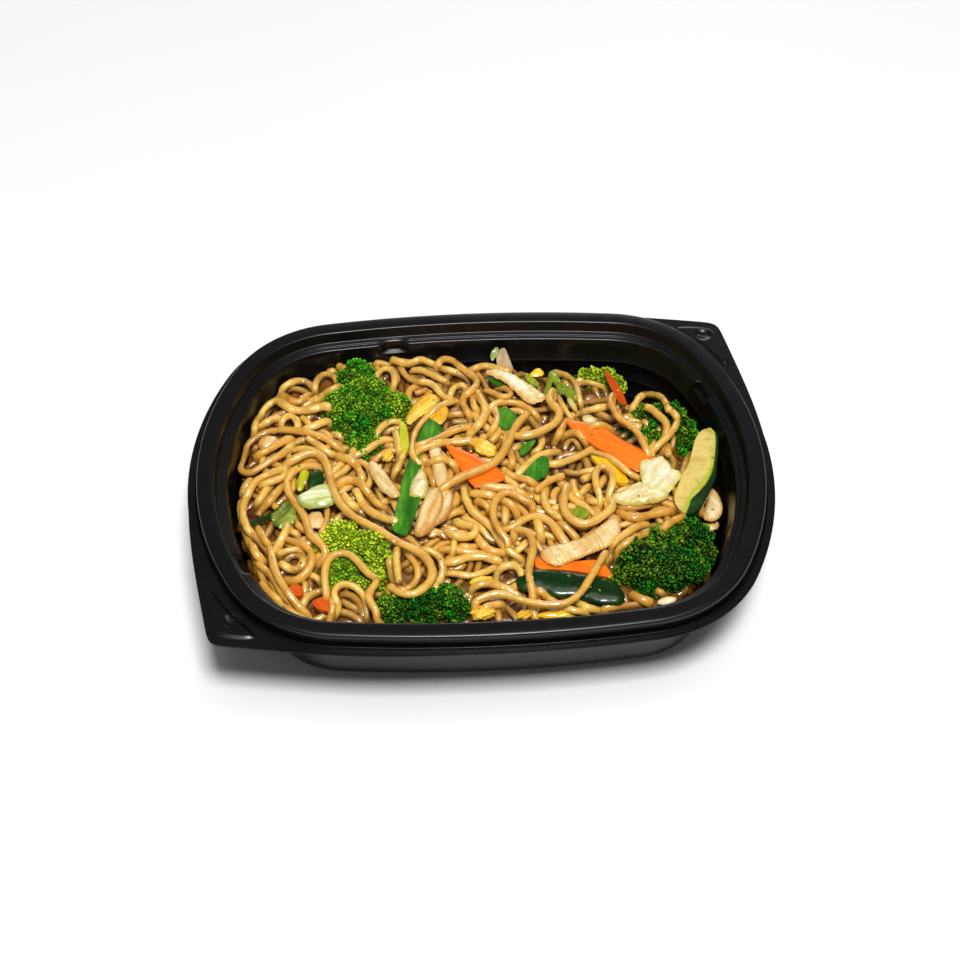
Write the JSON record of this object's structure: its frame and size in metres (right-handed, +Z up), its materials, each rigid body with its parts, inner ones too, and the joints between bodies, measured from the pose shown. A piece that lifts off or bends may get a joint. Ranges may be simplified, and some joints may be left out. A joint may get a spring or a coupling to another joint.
{
  "type": "lo mein in takeaway box",
  "caption": "Stir-fried noodles with broccoli, carrot, zucchini, onion and other vegetables in an open black plastic takeaway tray.",
  "frame": {"origin": "middle of the tray's underside", "axes": "+X along the tray's long side, to the right when the tray is seen as in the picture; +Y away from the viewer; +Z up"},
  "size_m": [0.24, 0.1918, 0.048],
  "materials": {
    "black_plastic": "satin black moulded plastic",
    "noodles": "glossy with oil and soy sauce",
    "sauce": "wet brown sauce",
    "broccoli": "fine buds, slightly wet",
    "broccoli_stalk": "smooth and wet",
    "carrot": "cooked, wet",
    "zucchini_flesh": "cooked, wet",
    "zucchini_skin": "smooth skin",
    "scallion": "smooth leaf",
    "onion": "translucent, glazed",
    "cabbage": "glazed",
    "squash": "cooked, wet",
    "bok_choy": "wilted leaf"
  },
  "bodies": {
    "root": {"bok_choy_dark": "zucchini_skin", "bok_choy_leaf": "bok_choy", "bok_choy_rib": "cabbage", "bok_choy_shred": "cabbage", "bok_choy_stem": "zucchini_skin", "broccoli_back_left": "broccoli", "broccoli_back_right": "broccoli", "broccoli_front": "broccoli", "broccoli_front_left": "broccoli", "broccoli_front_right": "broccoli", "broccoli_right": "broccoli", "cabbage_bit": "cabbage", "cabbage_leaf_back": "bok_choy", "cabbage_left": "cabbage", "cabbage_right": "cabbage", "cabbage_shred_a": "cabbage", "cabbage_shred_b": "cabbage", "cabbage_shred_c": "cabbage", "cabbage_tip": "bok_choy", "carrot_back": "carrot", "carrot_centre": "carrot", "carrot_front": "carrot", "carrot_left": "carrot", "carrot_left_low": "carrot", "carrot_right": "carrot", "egg_centre": "squash", "egg_front": "squash", "egg_front_small": "squash", "garlic_front": "onion", "noodle_heap": "noodles", "onion_back": "onion", "onion_back_tip": "onion", "onion_centre": "onion", "onion_far_left": "onion", "onion_front": "onion", "onion_left_a": "onion", "onion_left_b": "onion", "onion_low_left": "onion", "onion_mid": "onion", "onion_right": "onion", "onion_right_low": "onion", "onion_shred": "onion", "scallion_front": "scallion", "scallion_left": "scallion", "scallion_mid": "scallion", "scallion_strip": "scallion", "scallion_thin": "scallion", "scallion_top": "scallion", "squash_back": "squash", "squash_back_left": "squash", "squash_bit": "squash", "squash_front": "squash", "squash_front_rim": "squash", "squash_right": "squash", "squash_tip": "squash", "stalk_back_tip": "bok_choy", "tray": "black_plastic", "zucchini_front": "zucchini_skin", "zucchini_right": "zucchini_flesh"}
  },
  "joints": []
}
